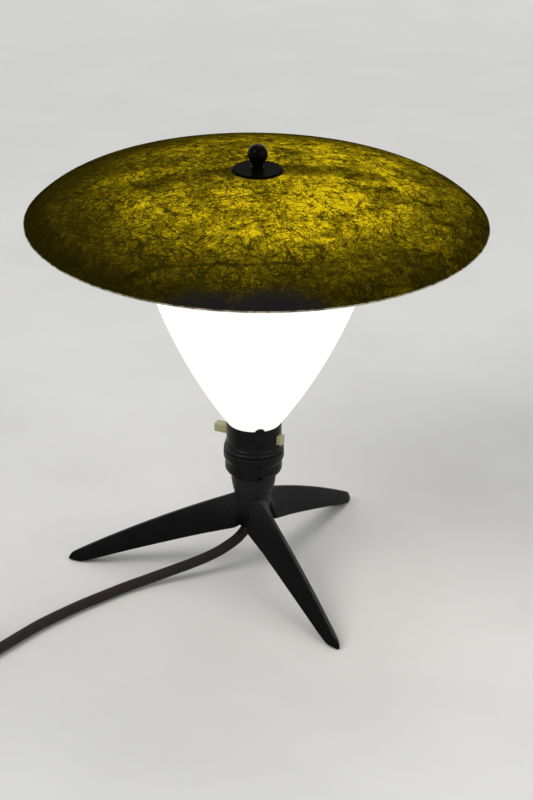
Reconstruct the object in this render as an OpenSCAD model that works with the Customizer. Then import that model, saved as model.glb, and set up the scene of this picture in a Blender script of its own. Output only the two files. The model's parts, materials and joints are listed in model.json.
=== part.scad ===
// Table lamp: black tripod base, push-bar lampholder, flared opal glass and a domed disc shade.
// Millimetres. +Z is up, the origin is on the table under the lamp's axis, -Y faces the viewer.

/* [Base] */
// Height of the seat for the lampholder above the table
hub_top_z = 77.5; // [74:0.5:90]
// Radius of the cup at its top
hub_top_r = 16.3; // [14.5:0.1:18]
// Radius of the cup at its lower edge
hub_waist_r = 13.5; // [12.8:0.1:14.4]
// Height of the cup, from its lower edge to the seat
hub_cup_h = 17; // [12:0.5:22]
// Radius of the column under the cup
column_r = 12.3; // [11:0.1:12.6]
// Height of the column's underside
column_z = 36; // [34:0.5:40]
// Distance from the axis to the tip of a leg
leg_reach = 133; // [115:1:150]
// Direction of the front leg, degrees from +X
leg_dir = -63; // [-90:1:-30]
// Height of a leg's ridge where it meets the column
leg_ridge_z = 60; // [54:0.1:62]
// Height of a leg's underside where it meets the column
leg_under_z = 37; // [36:0.1:41]
// Arch of a leg's underside above a straight line
leg_arch = 1.3; // [0:0.1:3]
// Height of a leg's tip
leg_tip_h = 5.2; // [2.5:0.1:6]
// Bow of the ridge above a straight line
leg_bow = 2.9; // [0:0.1:5]
// Half width of the rounded ridge along a leg's top
ridge_half = 1.7; // [0.8:0.1:2.2]
// Half width of a leg for each millimetre of its height
leg_spread = 0.48; // [0.4:0.01:0.6]
// Length of the flat foot under a leg's tip
foot_len = 9; // [6:0.5:16]
// Length over which a leg narrows to its tip, seen from above
tip_len = 9; // [6:0.5:20]

/* [Lampholder] */
// Radius of the lower half
cap_r = 20.4; // [19.8:0.1:21]
// Height of the lower half
cap_h = 17.8; // [16.8:0.2:22]
// Height of the lower half's rounding above the base
cap_round = 5; // [4:0.25:7]
// Radius of the bead round the lower half's top
bead_r = 21.6; // [21.1:0.1:23]
// Height of the bead
bead_h = 5.5; // [4:0.25:7]
// Thickness of the lower half's floor
cap_floor = 5; // [4.4:0.2:6]
// Height of the shadow groove between the halves
groove_h = 1; // [0.6:0.1:2]
// Radius of the flange
flange_r = 21.4; // [21:0.1:23]
// Height of the flange
flange_h = 5.2; // [4.8:0.1:8]
// Radius of the collar between flange and skirt
collar_r = 20.5; // [20.3:0.1:20.9]
// Radius of the plain skirt
skirt_r = 19.6; // [19.4:0.1:20]
// Height of the plain skirt
skirt_h = 15.5; // [13:0.5:20]
// Outside radius of the socket barrel
barrel_r = 14.3; // [13.9:0.1:14.6]
// Height of the socket barrel above the skirt
barrel_h = 20; // [18:0.5:24]
// Bore radius of the socket barrel
barrel_bore_r = 11.3; // [11.15:0.05:11.6]
// Wall of the lampholder
holder_wall = 2.5; // [2.2:0.1:2.7]
// Outside radius of the threaded nipple
nipple_r = 5; // [4.6:0.1:5.6]
// Bore radius of the threaded nipple
nipple_bore_r = 3.6; // [3.2:0.1:3.8]
// Direction of the locking screw, degrees from +X
grub_dir = -75.5; // [-110:0.5:-60]
// Radius of the locking screw
grub_r = 1.3; // [1:0.1:2]

/* [Switch] */
// Direction of the push bar's short end, degrees from +X
bar_dir = -26; // [-45:1:0]
// Width of the push bar
bar_w = 6.4; // [5:0.1:7]
// Height of the push bar
bar_h = 6.6; // [5.5:0.1:7]
// Height of the push bar's middle above the flange
bar_rise = 5.2; // [4.6:0.1:5.6]
// How far the short end stands out of the skirt
bar_out = 3; // [2:0.5:6]
// Travel of the push bar
bar_travel = 7.5; // [5:0.5:9]
// Distance of the contact posts from the axis
post_pitch = 6.8; // [6.7:0.1:7.4]
// Radius of a contact post
post_r = 2.4; // [2.2:0.1:2.6]

/* [Glass] */
// Radius of the glass at its foot
glass_foot_r = 19.6; // [19.2:0.1:21]
// Radius of the glass at its mouth
glass_top_r = 81.3; // [70:0.1:95]
// Height of the glass
glass_h = 131; // [122:1:150]
// Bulge of the side above a straight line
glass_bulge = 6.5; // [3:0.1:10]
// Wall of the glass
glass_wall = 2.5; // [2:0.1:2.8]
// Width of a retaining lug
lug_w = 6.8; // [4:0.1:8]
// Direction of the front lug, degrees from +X
lug_dir = -78; // [-90:1:-66]
// Height of a lug above the skirt
lug_rise = 3.6; // [2:0.1:5]
// Thickness of a lug
lug_t = 0.8; // [0.5:0.1:1.2]

/* [Shade] */
// Radius of the shade
shade_r = 160; // [140:1:180]
// Rise of the shade from its rim to its crown
shade_rise = 37; // [34:0.5:42]
// Radius of the turned-down edge in section
edge_r = 61; // [50:1:70]
// Slope of the shade at its rim, degrees
edge_angle = 47; // [43:0.5:55]
// Thickness of the shade
shade_t = 1.2; // [0.8:0.1:2]
// Height of the shade's rim above the glass mouth
shade_lift = 21; // [10:0.5:34]
// Radius of the washer on the shade
washer_r = 17.9; // [14:0.1:22]
// Thickness of the washers
washer_t = 1.6; // [1:0.1:2.4]
// Radius of the ball nut
ball_r = 7; // [6:0.1:9]
// Height of the neck under the ball
neck_h = 3.8; // [2:0.1:6]
// Radius of the stud
stud_r = 3; // [2.5:0.1:3.4]
// Direction of the bridge bar, degrees from +X
bridge_dir = 8; // [-30:1:30]
// Width of the bridge bar
bridge_w = 12; // [10:0.5:16]
// Thickness of the bridge bar
bridge_t = 1.6; // [1.2:0.1:2.4]
// Length of the bridge bar's hooked ends
hook_h = 7; // [4:0.5:10]

/* [Bulb] */
// Radius of the bulb
bulb_r = 30; // [25:0.5:32]
// Length of the bulb from its contacts to its crown
bulb_len = 105; // [98:1:112]
// Radius of the bulb's cap
bulb_cap_r = 11; // [10.6:0.05:11.05]
// Height of the bayonet pins above the contacts
pin_rise = 8; // [7.5:0.1:9]
// Radius of a bayonet pin
pin_r = 1.1; // [0.9:0.05:1.2]
// Turn of the bulb in the socket slots, degrees
bulb_turn = 20; // [15:1:25]

/* [Cord] */
// Diameter of the cord
cord_d = 7.5; // [6.5:0.1:7.8]
// Length of the bush in the base
bush_len = 20.5; // [20:0.5:24]
// Radius of the plug's body
plug_r = 12.6; // [12:0.1:12.8]
// Length of the plug's body
plug_len = 38; // [32:1:44]
// Length of the sleeve behind the plug
sleeve_len = 24; // [20:1:30]
// Length of a plug pin
plug_pin_len = 19; // [16:1:22]
// Radius of a plug pin
plug_pin_r = 2.4; // [2:0.1:2.5]

/* [Hidden] */
$fn = 64;
fit = 0.05;       // clearance of a screwed or running fit
ease = 0.15;      // clearance round the sliding bar
z_cap = hub_top_z;
z_groove = z_cap + cap_h;
z_flange = z_groove + groove_h;
z_skirt = z_flange + flange_h;
z_glass = z_skirt + skirt_h;
z_mouth = z_glass + glass_h;
z_rim = z_mouth + shade_lift;
z_step = hub_top_z - hub_cup_h;
leg_root = 12;
foot_s = leg_reach - foot_len;
nose_len = 4;     // rounding of a leg's tip, seen from the side
bar_z = z_skirt + bar_rise;
bar_hi = skirt_r + bar_out;
bar_lo = -(skirt_r + bar_out + bar_travel);
cavity_r = skirt_r - holder_wall;
block_r = cavity_r - 0.4;
spigot_r = skirt_r - 1.2;
roof_z = z_glass - 3;
block_lo = z_skirt - 2.5;
block_hi = roof_z - 0.2;
post_lo = block_lo - 5;
post_hi = block_hi - 1;
glass_floor = 2.6;
gasket_t = 0.8;
ring_h = 5;
z_gasket = z_glass + glass_floor;
z_ring = z_gasket + gasket_t;
ring_out = glass_foot_r - glass_wall + 0.3;
z_lamp = z_glass + 2.4;           // contacts of the bulb
z_pin = z_lamp + pin_rise;
plunger_r = 1.5;
z_cord = hub_top_z - 7.5;         // top end of the cord in the base
cord_r = cord_d / 2;
bush_lo = z_cord - bush_len;
nut_h = 4;
screw_z = z_cap + cap_floor / 2;

function unit(v) = v / norm(v);
function polar(r, a) = [r * cos(a), r * sin(a)];

// Arc from p to q that bulges by sag to the right of the way from p to q.
function arc_pts(p, q, sag, n) =
  let (c = norm(q - p), r = (c * c / 4 + sag * sag) / (2 * sag), d = (q - p) / c,
       m = (p + q) / 2 + [d[1], -d[0]] * (sag - r), a0 = atan2(p[1] - m[1], p[0] - m[0]),
       h = 2 * asin(c / 2 / r))
  [for (i = [0:n]) m + r * [cos(a0 + h * i / n), sin(a0 + h * i / n)]];

// Arc from p to q that runs straight up at q.
function turn_pts(p, q, n) = arc_pts(p, q, norm(q - p) / 2 * tan(atan2(q[0] - p[0], q[1] - p[1]) / 2), n);

// Ring of n points about p, square to direction t, with its side axis level.
function ring(p, t, r, n, az) =
  let (flat = norm([t[0], t[1]]), a = flat < 0.02 ? az : atan2(t[1], t[0]),
       b = [-sin(a), cos(a), 0], u = cross(t, b))
  [for (j = [0:n - 1]) p + r * (cos(360 * (j + 0.5) / n) * b + sin(360 * (j + 0.5) / n) * u)];
function way(pts, i) =
  unit(pts[min(i + 1, len(pts) - 1)] - pts[max(i - 1, 0)]);

// Closed solid through rows of equal count, each row running counter-clockwise seen from ahead.
module loft(rows) {
  k = len(rows);
  n = len(rows[0]);
  walls = [for (i = [0:k - 2], j = [0:n - 1]) let (a = i * n + j, b = i * n + (j + 1) % n)
    each [[a, a + n, b], [b, a + n, b + n]]];
  lids = [for (j = [1:n - 2]) each [[0, j, j + 1], [(k - 1) * n, (k - 1) * n + j + 1, (k - 1) * n + j]]];
  polyhedron([for (r = rows) each r], concat(walls, lids));
}

// Tube of radius r along pts.
module tube(pts, r, n, az = 0) loft([for (i = [0:len(pts) - 1]) ring(pts[i], way(pts, i), r, n, az)]);

module rounded(w, h, r) {
  square([w - 2 * r, h], center = true);
  square([w, h - 2 * r], center = true);
  for (x = [-1, 1], y = [-1, 1]) translate([x * (w / 2 - r), y * (h / 2 - r)]) circle(r);
}
module hex(af, h) cylinder(r = af / 2 / cos(30), h = h, $fn = 6);
module pipe(ro, ri, h) difference() {
  cylinder(r = ro, h = h);
  translate([0, 0, -1]) cylinder(r = ri, h = h + 2);
}

// Leg: a roof-shaped blade from under the cup, its underside ending in a flat foot.
function leg_t(s) = (s - leg_root) / (leg_reach - leg_root);
function ridge_line(s) = leg_ridge_z + (leg_tip_h - leg_ridge_z) * leg_t(s)
  + 4 * leg_bow * leg_t(s) * (1 - leg_t(s));
function under_at(s) = let (q = (s - leg_root) / (foot_s - leg_root))
  max(0, leg_under_z * (1 - q) + 4 * leg_arch * q * (1 - q));
function tip_at(s, len) = let (u = max(0, (s - leg_reach + len) / len)) sqrt(1 - u * u);
function root_at(s) = 1 - max(0, leg_root - s) / 40;
function half_at(s) = tip_at(s, tip_len) * root_at(s)
  * (leg_spread * (ridge_line(s) - under_at(s)) + 0.4 + max(0, 1.2 - abs(s - leg_root) / 20));
function leg_half(w, lo, hi) = let (h = hi - lo, e = min(0.5, w * 0.3, h * 0.3),
    top = min(ridge_half, w * 0.35), drop = min(1.3, h * 0.25))
  [[w - e, lo], [w, lo + e], [(w + top) * 0.53, lo + h * 0.5], [top, hi - drop],
   [top * 0.6, hi - drop * 0.3]];
function leg_row(s) = let (lo = under_at(s), hi = ridge_line(s) * tip_at(s, nose_len),
    half = leg_half(half_at(s), lo, hi))
  [for (p = concat([[0, lo]], half, [[0, hi]], [for (i = [4:-1:0]) [-half[i][0], half[i][1]]]))
    [s, p[0], p[1]]];
leg_run = [for (i = [0:10]) 4 + (foot_s - 4) * i / 10];
leg_end = [for (d = [0.25, 0.45, 0.6, 0.72, 0.82, 0.9, 0.955, 0.985]) foot_s + foot_len * d];
module leg() loft([for (s = concat(leg_run, leg_end)) leg_row(s)]);

module tripod_base() color("#1b1a1a") difference() {
  union() {
    rotate_extrude() polygon(concat(
      [[0, column_z]], arc_pts([column_r - 2.2, column_z], [column_r - 0.4, column_z + 2.2], 0.55, 4),
      [[column_r, z_step - 0.3], [column_r, z_step], [hub_waist_r - 0.5, z_step + 0.1]],
      arc_pts([hub_waist_r, z_step + 0.7], [hub_top_r, hub_top_z - 0.6], 0.5, 6),
      [[hub_top_r - 0.6, hub_top_z], [0, hub_top_z]]));
    for (i = [0:2]) rotate([0, 0, leg_dir + 120 * i]) leg();
  }
  translate([0, 0, bush_lo]) cylinder(r = cord_r + 2.85, h = bush_len);
  translate([0, 0, z_cord - 1]) cylinder(r = nipple_r + fit, h = hub_top_z);
  rotate_extrude() polygon([[0, column_z - 1], [9.1, column_z - 1], [8.2, bush_lo], [8.2, bush_lo + 0.1],
    [0, bush_lo + 0.1]]);
}

module cord_bush() color("#232222") rotate_extrude() polygon([[cord_r + 0.1, bush_lo],
  [cord_r + 1.3, bush_lo], [cord_r + 2.8, bush_lo + bush_len * 0.6], [cord_r + 2.8, z_cord],
  [cord_r + 0.1, z_cord]]);

module nipple() color("#b8954a") translate([0, 0, z_cord])
  pipe(nipple_r, nipple_bore_r, hub_top_z - z_cord + cap_floor + nut_h + 1.5);

module nipple_nut() color("#b8954a") translate([0, 0, z_cap + cap_floor]) difference() {
  hex(14, nut_h);
  translate([0, 0, -1]) cylinder(r = nipple_r + fit, h = nut_h + 2);
}

module core_wires() color("#7a4a2c") for (m = [-1, 1]) rotate([0, 0, bar_dir + 90])
  tube([for (p = [[1.5, z_cord], [1.5, z_cap], [1.5, z_cap + 8], [1.7, z_cap + 11], [3.4, z_cap + 13],
    [5.6, z_cap + 14.4], [post_pitch, post_lo - 2.4], [post_pitch, post_lo]]) [m * p[0], 0, p[1]]],
    1.1, 8, m > 0 ? 0 : 180);

module holder_cap() color("#191818") difference() {
  rotate_extrude() polygon(concat(
    [[nipple_r + fit, z_cap]], turn_pts([hub_top_r, z_cap], [cap_r, z_cap + cap_round], 8),
    [[cap_r, z_groove - bead_h - 2], [cap_r + 0.3, z_groove - bead_h - 1.4],
     [bead_r - 0.3, z_groove - bead_h + 0.2], [bead_r, z_groove - bead_h + 1], [bead_r, z_groove - 0.5],
     [bead_r - 0.5, z_groove], [spigot_r, z_groove], [spigot_r, z_skirt - 0.5],
     [cavity_r - 0.1, z_skirt - 0.5], [cavity_r - 0.1, z_cap + cap_floor],
     [nipple_r + fit, z_cap + cap_floor]]));
  rotate([0, 0, grub_dir]) translate([nipple_r - 1, 0, screw_z]) rotate([0, 90, 0])
    cylinder(r = grub_r + fit, h = cap_r);
}

module grub_screw() color("#3a3633") rotate([0, 0, grub_dir]) translate([nipple_r + 0.1, 0, screw_z])
  rotate([0, 90, 0]) difference() {
    cylinder(r = grub_r, h = hub_top_r - nipple_r - 0.6);
    translate([-0.35, -3, hub_top_r - nipple_r - 1.6]) cube([0.7, 6, 3]);
  }

// Upper half: flange, skirt with the bar's two windows, and the barrel with its two bent slots.
module holder_body() color("#1c1b1b") difference() {
  rotate_extrude() polygon([[spigot_r + fit, z_flange], [flange_r - 0.5, z_flange],
    [flange_r, z_flange + 0.5], [flange_r, z_flange + 1.5], [flange_r - 0.3, z_flange + 1.9],
    [collar_r + 0.2, z_flange + 2.1], [collar_r, z_flange + 2.4], [collar_r, z_skirt - 0.8],
    [collar_r - 0.4, z_skirt - 0.2], [skirt_r + 0.4, z_skirt], [skirt_r, z_skirt + 0.4],
    [skirt_r, z_glass - 0.4], [skirt_r - 0.4, z_glass],
    [barrel_r, z_glass], [barrel_r, z_glass + barrel_h - 0.6], [barrel_r - 0.6, z_glass + barrel_h],
    [barrel_bore_r + 0.4, z_glass + barrel_h], [barrel_bore_r, z_glass + barrel_h - 0.4],
    [barrel_bore_r, roof_z], [cavity_r, roof_z], [cavity_r, z_skirt], [spigot_r + fit, z_skirt]]);
  rotate([0, 0, bar_dir]) translate([-flange_r - 2, -bar_w / 2 - ease, bar_z - bar_h / 2 - ease])
    cube([2 * flange_r + 4, bar_w + 2 * ease, bar_h + 2 * ease]);
  for (a = [0, 180]) rotate([0, 0, bar_dir + a]) {
    rotate([0, 0, bulb_turn]) translate([0, -pin_r - 0.3, z_pin - pin_r - 0.3])
      cube([barrel_r + 2, 2 * pin_r + 0.6, barrel_h]);
    rotate([0, 0, -8]) rotate_extrude(angle = bulb_turn + 16)
      translate([barrel_bore_r - 2, z_pin - pin_r - 0.3])
      square([barrel_r - barrel_bore_r + 4, 2 * pin_r + 0.6]);
  }
}

module glass_clips() color("#201f1f") for (a = [0, 180]) intersection() {
  rotate_extrude() polygon([[skirt_r, z_glass - 8.5], [skirt_r + lug_t, z_glass - 8.5],
    [skirt_r + lug_t, z_glass - 0.5], [glass_out(lug_rise) + lug_t + 0.3, z_glass + lug_rise],
    [glass_out(lug_rise) + 0.3, z_glass + lug_rise], [max(skirt_r, glass_foot_r - 0.5) + 0.25, z_glass],
    [skirt_r, z_glass - 0.5]]);
  rotate([0, 0, lug_dir + a + 90]) translate([0, 0, z_glass]) rotate([90, 0, 0])
    linear_extrude(skirt_r * 2) union() {
    translate([-lug_w / 2, -8.5]) square([lug_w, 8.5 + lug_rise - lug_w / 2]);
    translate([0, lug_rise - lug_w / 2]) circle(lug_w / 2);
  }
}

// Insulating block with the channel for the push bar, the leaf's pocket and two post holes.
module terminal_block() color("#6d5a44") difference() {
  translate([0, 0, block_lo]) cylinder(r = block_r, h = block_hi - block_lo);
  rotate([0, 0, bar_dir]) {
    translate([-block_r - 1, -bar_w / 2 - 2 * ease, bar_z - bar_h / 2 - 2 * ease])
      cube([2 * block_r + 2, bar_w + 4 * ease, bar_h + 4 * ease]);
    translate([-8, -bar_w / 2 + 0.7, bar_z]) cube([16, bar_w - 1.4, block_hi]);
    for (m = [-1, 1]) translate([0, m * post_pitch, block_lo - 1]) {
      cylinder(r = post_r + fit, h = post_hi - block_lo + 1);
      cylinder(r = plunger_r + 0.2, h = block_hi);
    }
  }
}

module terminal_posts() color("#c39a4a") rotate([0, 0, bar_dir]) for (m = [-1, 1])
  translate([0, m * post_pitch, post_lo]) difference() {
    cylinder(r = post_r, h = post_hi - post_lo);
    translate([0, 0, 9]) cylinder(r = plunger_r + fit, h = post_hi);
    translate([0, m * (post_r - 1.4), 2.5]) rotate([-90 * m, 0, 0]) cylinder(r = 1, h = 4);
  }

module terminal_screws() color("#a8a49a") rotate([0, 0, bar_dir]) for (m = [-1, 1])
  translate([0, m * (post_pitch + post_r - 1.4), post_lo + 2.5]) rotate([-90 * m, 0, 0]) difference() {
    union() {
      cylinder(r = 1 - fit, h = 3.4);
      translate([0, 0, 1.8]) cylinder(r = 1.9, h = 1.6);
    }
    translate([-3, -0.3, 2.8]) cube([6, 0.6, 2]);
  }

spring_lo = post_lo + 9;
spring_hi = post_hi - 3.2;
module plunger_springs() color("#b9b5aa") rotate([0, 0, bar_dir]) for (m = [-1, 1])
  translate([0, m * post_pitch, 0]) tube([for (i = [0:24]) let (t = i / 24)
    [0.95 * cos(1080 * t), 0.95 * sin(1080 * t), spring_lo + 0.4 + (spring_hi - spring_lo - 0.8) * t]],
    0.3, 6);

module plungers() color("#c9a457") rotate([0, 0, bar_dir]) for (m = [-1, 1])
  translate([0, m * post_pitch, spring_hi]) {
    cylinder(r = plunger_r, h = z_lamp - fit - spring_hi - 0.8);
    translate([0, 0, z_lamp - fit - spring_hi - 0.8])
      cylinder(r1 = plunger_r, r2 = plunger_r - 0.6, h = 0.8);
  }

module switch_leaf() color("#c39a4a") rotate([0, 0, bar_dir]) translate([-7.6, -bar_w / 2 + 0.9, 0])
  translate([0, bar_w - 1.8, 0]) rotate([90, 0, 0]) linear_extrude(bar_w - 1.8) polygon([
    [0, block_hi - 0.1], [0, block_hi - 0.7], [6.2, block_hi - 0.7],
    [7.6, bar_z + bar_h / 2 + 0.55], [9, bar_z + bar_h / 2 + 0.55], [11, block_hi - 1.2],
    [11.4, block_hi - 0.8], [9.3, bar_z + bar_h / 2 + 1.1],
    [7.4, bar_z + bar_h / 2 + 1.1], [6.5, block_hi - 0.1]]);

module push_bar() color("#efe6cd") rotate([0, 0, bar_dir]) difference() {
  translate([bar_lo, 0, bar_z]) rotate([90, 0, 90])
    linear_extrude(bar_hi - bar_lo) rounded(bar_w, bar_h, 0.9);
  translate([-9.05, -bar_w / 2 + 1.15, bar_z + bar_h / 2 - 0.65]) cube([10.1, bar_w - 2.3, 2]);
}

module bar_contact() color("#c9a457") rotate([0, 0, bar_dir])
  translate([-9, -bar_w / 2 + 1.2, bar_z + bar_h / 2 - 0.65]) cube([10, bar_w - 2.4, 0.85]);

// Glass: a flared bowl, its side an arc in section, with a flat foot bored for the barrel.
glass_side = arc_pts([glass_foot_r, 0.8], [glass_top_r, glass_h - 0.8], glass_bulge, 22);
glass_in = arc_pts([glass_foot_r - glass_wall, glass_floor], [glass_top_r - glass_wall, glass_h - 0.8],
  glass_bulge - 0.2, 22);
function glass_out(h) = lookup(h, [for (p = glass_side) [p[1], p[0]]]);
module opal_glass() color("#f6f3ea") translate([0, 0, z_glass]) rotate_extrude() polygon(concat(
  [[barrel_r + 0.3, 0], [glass_foot_r - 0.6, 0]], glass_side,
  [[glass_top_r - 0.7, glass_h], [glass_top_r - glass_wall + 0.7, glass_h]],
  [for (i = [len(glass_in) - 1:-1:0]) glass_in[i]], [[barrel_r + 0.3, glass_floor]]));

module glass_gasket() color("#4a4038") translate([0, 0, z_gasket])
  pipe(ring_out - 0.5, barrel_r + 0.2, gasket_t);
module glass_ring() color("#1a1919") translate([0, 0, z_ring]) difference() {
  pipe(ring_out, barrel_r + fit, ring_h);
  for (a = [0:30:330]) rotate([0, 0, a]) translate([ring_out + 0.6, 0, -1])
    cylinder(r = 1.2, h = ring_h + 2);
}

// Bayonet bulb: a blown bulb open at its neck, brass cap, two pins and two contacts.
bulb_mid = bulb_len - bulb_r;
bulb_wall = 0.9;
function bez(a, b, c, d, t) =
  pow(1 - t, 3) * a + 3 * t * pow(1 - t, 2) * b + 3 * t * t * (1 - t) * c + t * t * t * d;
function bulb_side(r, neck) = let (low = [0, bulb_mid] + polar(r, -40)) concat(
  [[neck, 23]], [for (i = [0:8]) bez([neck, 26], [neck + 1, 38], low - [6.5, 7.7], low, i / 8)],
  [for (a = [-32:8:80]) [0, bulb_mid] + polar(r, a)], [[0, bulb_mid + r]]);
bulb_skin = bulb_side(bulb_r, bulb_cap_r - 1);
bulb_bore = bulb_side(bulb_r - bulb_wall, bulb_cap_r - 1 - bulb_wall);
module bulb_glass() color("#fbf8ee") translate([0, 0, z_lamp]) rotate_extrude()
  polygon(concat(bulb_skin, [for (i = [len(bulb_bore) - 1:-1:0]) bulb_bore[i]]));
module bulb_cap() color("#c9ad6a") translate([0, 0, z_lamp]) rotate_extrude() polygon([
  [bulb_cap_r - 0.5, 3.4], [bulb_cap_r, 4], [bulb_cap_r, 25], [bulb_cap_r - 0.9, 25.6],
  [bulb_cap_r - 0.9, 4.2], [bulb_cap_r - 1.2, 3.4]]);
module bulb_pins() color("#c9ad6a") rotate([0, 0, bar_dir]) for (a = [0, 180]) rotate([0, 0, a])
  translate([bulb_cap_r, 0, z_pin]) rotate([0, 90, 0]) cylinder(r = pin_r, h = 2.4);
module bulb_insulator() color("#2a2523") translate([0, 0, z_lamp]) rotate_extrude()
  polygon([[0, 0.6], [8.8, 0.6], [bulb_cap_r - 1.25, 3], [bulb_cap_r - 1.25, 4.4], [0, 4.4]]);
module bulb_contacts() color("#c8c3b5") rotate([0, 0, bar_dir]) for (m = [-1, 1])
  translate([0, m * post_pitch, z_lamp]) cylinder(r = 1.9, h = 0.6);

// Shade: two arcs in section, the crown's and the tighter turned-down edge's, flat at its centre.
edge_c = [shade_r - edge_r * sin(edge_angle), -edge_r * cos(edge_angle)];
crown_r = let (a = shade_rise - edge_c[1], x = edge_c[0], e = edge_r)
  (x * x + a * a - e * e) / (2 * (a - e));
crown_a = atan2(edge_c[0], edge_c[1] - shade_rise + crown_r);
seat_r = washer_r + 1.1;
seat_a = asin(seat_r / crown_r);
function crown_pt(r, a) = [0, shade_rise - crown_r] + r * [sin(a), cos(a)];
function edge_pt(r, a) = edge_c + r * [sin(a), cos(a)];
function skin(d) = concat([for (i = [0:10]) crown_pt(crown_r - d, seat_a + (crown_a - seat_a) * i / 10)],
  [for (i = [1:12]) edge_pt(edge_r - d, crown_a + (edge_angle - crown_a) * i / 12)]);
seat_z = z_rim + crown_pt(crown_r, seat_a)[1];
hole_r = stud_r + 0.08;
module shade_disc() color("#b59b16") translate([0, 0, z_rim]) let (up = skin(0), lo = skin(shade_t))
  rotate_extrude($fn = 96) polygon(concat([[hole_r, seat_z - z_rim]], up,
    [for (i = [len(lo) - 1:-1:0]) lo[i]], [[hole_r, lo[0][1]]]));
module top_washer() color("#151413") translate([0, 0, seat_z + fit]) rotate_extrude() polygon([
  [stud_r + fit, 0], [washer_r, 0], [washer_r, washer_t * 0.5], [washer_r - 1.2, washer_t],
  [stud_r + fit, washer_t]]);
lower_r = 15;
lower_top = z_rim + crown_pt(crown_r - shade_t, seat_a)[1] - fit;
module lower_washer() color("#3b352c") translate([0, 0, lower_top - washer_t])
  pipe(lower_r, stud_r + fit, washer_t);
ball_z = seat_z + washer_t + 2 * fit + neck_h + ball_r * 0.92;
module finial_ball() color("#17120d") difference() {
  union() {
    translate([0, 0, ball_z]) sphere(r = ball_r);
    translate([0, 0, seat_z + washer_t + 2 * fit]) rotate_extrude() polygon([[0, 0], [4.6, 0], [4.6, 1.1],
      [3.9, 1.6], [3.9, neck_h + 1.5], [0, neck_h + 1.5]]);
  }
  translate([0, 0, seat_z]) cylinder(r = stud_r + fit, h = ball_z - seat_z + 1.2);
}
stud_lo = z_mouth - nut_h - 1.6;
module shade_stud() color("#b8b2a2") translate([0, 0, stud_lo])
  cylinder(r = stud_r, h = ball_z + 0.8 - stud_lo);
module stud_nuts() color("#a9a395")
  for (z = [z_mouth - nut_h, z_mouth + bridge_t, lower_top - washer_t - nut_h])
  translate([0, 0, z]) difference() {
    hex(stud_r * 3.4, nut_h);
    translate([0, 0, -1]) cylinder(r = stud_r + fit, h = nut_h + 2);
  }
hook_r = glass_top_r + 0.25;
module shade_bridge() color("#8e897c") rotate([0, 0, bridge_dir]) difference() {
  translate([0, bridge_w / 2, z_mouth]) rotate([90, 0, 0]) linear_extrude(bridge_w) polygon([
    [-hook_r, 0], [-hook_r, -hook_h], [-hook_r - bridge_t, -hook_h],
    [-hook_r - bridge_t, bridge_t - 0.7], [-hook_r - bridge_t + 0.7, bridge_t],
    [hook_r + bridge_t - 0.7, bridge_t], [hook_r + bridge_t, bridge_t - 0.7],
    [hook_r + bridge_t, -hook_h], [hook_r, -hook_h], [hook_r, 0]]);
  translate([0, 0, z_mouth - 1]) cylinder(r = stud_r + fit, h = bridge_t + 2);
  for (m = [-1, 1]) translate([m * glass_top_r * 0.45, 0, z_mouth - 1]) cylinder(r = 3.5, h = bridge_t + 2);
}

// Cord: out of the base, down to the table and away to the left, then the unseen length in a flat coil.
lead_pts = [[0, 0, 70], [0, 0, 63], [0, 0, 56], [0, 0, 49.5], [-1.1, -0.3, 41.1], [-4.1, -1.3, 33.2],
  [-9, -2.9, 26.5], [-14.5, -4.8, 21.9], [-23.9, -8.3, 16.6], [-33.3, -12.5, 13.3], [-43.2, -17.3, 11],
  [-53.7, -21.9, 8.9], [-63.5, -26.1, 6.9], [-73, -30.6, 5.2], [-90, -42, 4], [-107, -57, 3.9],
  [-121, -70, 3.9], [-134, -83.5, 3.9], [-147, -98, 3.9], [-159, -114, 3.9], [-171, -130.4, 3.9],
  [-179, -141.2, 4.4]];
coil_c = [-238, -131];
coil_r = 53.8;          // outer turn, to the cord's middle
coil_step = 8.1;       // from turn to turn, and from layer to layer
coil_a0 = -35;
coil_turns = 5 + 145 / 360;
coil_z = 4.7;
coil_mid = coil_turns / 2;
function coil_radius(n) = coil_r - coil_step * (coil_mid - sqrt(pow(n - coil_mid, 2) + 0.0016));
function climb(n) = n < coil_mid - 0.25 ? 0 : n > coil_mid + 0.25 ? 1
  : 0.5 - 0.5 * cos(360 * (n - coil_mid + 0.25));
function coil_pt(n) = let (p = coil_c + polar(coil_radius(n), coil_a0 - 360 * n))
  [p[0], p[1], coil_z + coil_step * climb(n)];
coil_n = 130;
coil_start = coil_pt(0);
coil_head = unit(coil_pt(0.001) - coil_start);
coil_end = coil_pt(coil_turns);
plug_gap = 18;         // straight cord between the coil and the plug's sleeve
coil_run = [for (i = [0:coil_n]) coil_pt(coil_turns * i / coil_n)];
coil_pts = concat([coil_start - cord_d * coil_head], coil_run,
  [coil_end + [0, 8, 0], coil_end + [0, plug_gap + sleeve_len, 0]]);
coil_gap = min([for (i = [0:coil_n - 14], j = [i + 14:coil_n]) norm(coil_run[i] - coil_run[j])]) - cord_d;
function path_len(p) = let (k = [1:len(p) - 1]) [for (i = k) norm(p[i] - p[i - 1])] * [for (i = k) 1];
lead_run = concat(lead_pts, [for (d = [cord_d + 5, cord_d]) coil_start - d * coil_head]);
echo(coil_gap = coil_gap, cord_length = path_len(lead_run) + path_len(coil_pts));
module cord_lead() color("#3d2a33") tube(lead_run, cord_r, 8, 198);
module cord_coil() color("#3d2a33") tube(coil_pts, cord_r, 6);

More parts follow.
